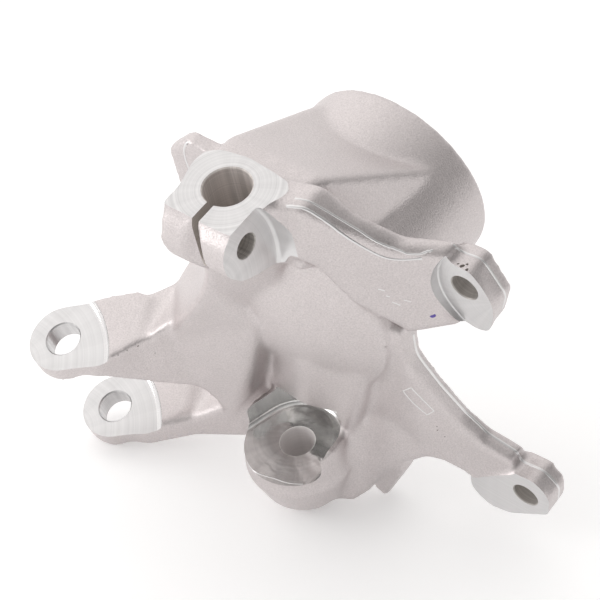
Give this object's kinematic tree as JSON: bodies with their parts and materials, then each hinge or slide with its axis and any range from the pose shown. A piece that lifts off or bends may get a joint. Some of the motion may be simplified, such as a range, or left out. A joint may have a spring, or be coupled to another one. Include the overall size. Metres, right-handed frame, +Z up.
{
  "type": "steering knuckle",
  "caption": "Forged steering knuckle with a bearing housing, a slotted upper ball joint clamp, a lower ball joint boss, a tie rod clevis and caliper arms.",
  "frame": {"origin": "middle of the object's outline seen from above, on the table it rests on", "axes": "+Z up as it rests on three points under the boss, the lower clevis ear and the wedge lug; the wheel axis lies in the YZ plane and points to +Y and a little up; +X towards the caliper arms"},
  "size_m": [0.2078, 0.1412, 0.1889],
  "materials": {
    "forged_aluminium": "blasted forging, bright on the machined faces and bores"
  },
  "bodies": {
    "root": {"knuckle_body": "forged_aluminium"}
  },
  "joints": []
}
